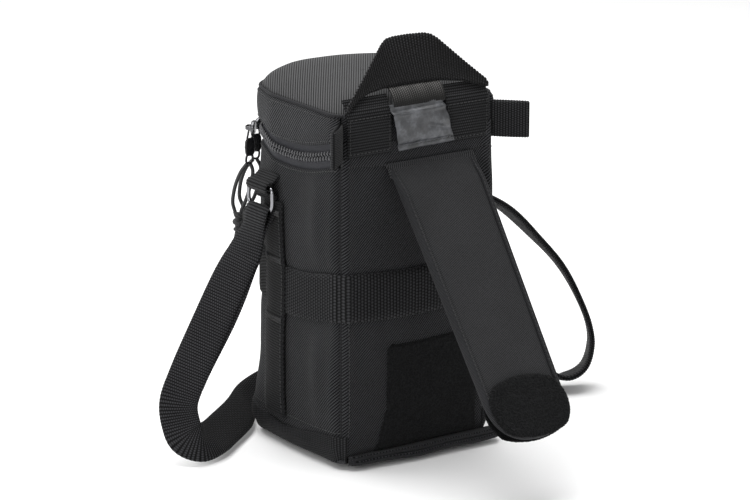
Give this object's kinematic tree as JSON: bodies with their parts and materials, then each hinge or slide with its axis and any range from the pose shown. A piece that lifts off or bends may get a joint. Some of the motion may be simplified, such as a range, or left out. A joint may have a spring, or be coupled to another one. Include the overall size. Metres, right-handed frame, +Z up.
{
  "type": "camera lens pouch",
  "caption": "Padded zip-lid camera lens pouch with carry handle, swing-out belt flap, side rings and a webbing shoulder strap.",
  "frame": {"origin": "centre of the pouch's base, on the surface it stands on", "axes": "+Z up; the flat back panel with the belt flap faces +Y and the rounded front faces -Y; +X is the side where both zip sliders are parked"},
  "size_m": [0.3603, 0.2911, 0.2882],
  "materials": {
    "nylon_twill": "matt charcoal-black nylon twill",
    "flap_fabric": "matt black twill over foam",
    "stiffener_board": "matt",
    "lining": "brushed tricot",
    "webbing": "ribbed black webbing",
    "strap_webbing": "ribbed black webbing",
    "zip_tape": "matt woven tape",
    "zip_coil": "semi-gloss nylon coil",
    "pile": "matt looped pile",
    "coated_panel": "satin coated cloth",
    "ribbon": "grey grosgrain",
    "ring_metal": "nickel plated",
    "black_metal": "semi-gloss black",
    "black_plastic": "matt moulded",
    "cord": "braided black cord"
  },
  "bodies": {
    "pouch": {"base_panel": "nylon_twill", "base_board": "stiffener_board", "side_wall": "nylon_twill", "back_panel": "nylon_twill", "inner_lining": "lining", "base_trim": "webbing", "waist_band": "webbing", "lower_zip_tape": "zip_tape", "lower_zip_coil": "zip_coil", "base_flange": "nylon_twill", "loop_patch": "pile", "side_strip_left": "webbing", "side_strip_right": "webbing", "flap_seam_web": "nylon_twill", "shoulder_strap": "strap_webbing", "strap_loop": "strap_webbing", "strap_tail_left": "strap_webbing", "strap_tail_right": "strap_webbing", "ring_tab_left": "webbing", "ring_tab_right": "webbing", "strap_adjuster": "black_plastic"},
    "lid": {"upper_zip_tape": "zip_tape", "upper_zip_coil": "zip_coil", "lid_wall": "nylon_twill", "lid_rear_wall": "nylon_twill", "lid_top": "nylon_twill", "lid_piping": "nylon_twill", "lid_lining": "lining", "zip_end_tab_left": "webbing", "zip_end_tab_right": "webbing", "handle_leg_left": "webbing", "handle_leg_right": "webbing", "hanger_panel": "coated_panel"},
    "handle": {"carry_handle": "webbing", "handle_ribbon": "ribbon"},
    "flap": {"belt_flap": "flap_fabric", "flap_binding": "webbing", "flap_pile_outer": "pile", "flap_pile_inner": "pile"},
    "ring_left": {"d_ring_left": "ring_metal", "strap_end_left": "strap_webbing"},
    "ring_right": {"d_ring_right": "ring_metal", "strap_end_right": "strap_webbing"},
    "slider_a": {"zip_slider_a": "ring_metal"},
    "pull_a": {"zip_pull_a": "black_metal", "pull_cord_a": "cord", "pull_knot_a": "cord"},
    "slider_b": {"zip_slider_b": "ring_metal"},
    "pull_b": {"zip_pull_b": "black_metal", "pull_cord_b": "cord", "pull_knot_b": "cord"}
  },
  "joints": [
    {"name": "lid_hinge", "type": "hinge", "parent": "pouch", "child": "lid", "pos_m": [0, 0.064, 0.212], "axis": [-1, 0, 0], "range_deg": [0, 90]},
    {"name": "handle_hinge", "type": "hinge", "parent": "lid", "child": "handle", "pos_m": [0, 0.0674, 0.2464], "axis": [-1, 0, 0], "range_deg": [-30, 60]},
    {"name": "flap_hinge", "type": "hinge", "parent": "pouch", "child": "flap", "pos_m": [0, 0.067, 0.2055], "axis": [1, 0, 0], "range_deg": [-32, 15]},
    {"name": "ring_left_hinge", "type": "hinge", "parent": "pouch", "child": "ring_left", "pos_m": [0.072, -0.017, 0.181], "axis": [0, -1, 0], "range_deg": [-3, 30]},
    {"name": "ring_right_hinge", "type": "hinge", "parent": "pouch", "child": "ring_right", "pos_m": [-0.072, -0.017, 0.181], "axis": [0, 1, 0], "range_deg": [-3, 30]},
    {"name": "slider_a_run", "type": "hinge", "parent": "pouch", "child": "slider_a", "pos_m": [0.027, -0.029, 0.2115], "axis": [0, 0, 1], "range_deg": [0, 22]},
    {"name": "pull_a_swing", "type": "hinge", "parent": "slider_a", "child": "pull_a", "pos_m": [0.05552, -0.0556, 0.2115], "axis": [-0.682, -0.7314, 0], "range_deg": [0, 85]},
    {"name": "slider_b_run", "type": "hinge", "parent": "pouch", "child": "slider_b", "pos_m": [0.027, -0.029, 0.2115], "axis": [0, 0, 1], "range_deg": [-30, 0]},
    {"name": "pull_b_swing", "type": "hinge", "parent": "slider_b", "child": "pull_b", "pos_m": [0.04531, -0.06344, 0.2115], "axis": [-0.8829, -0.4695, 0], "range_deg": [0, 85]}
  ]
}
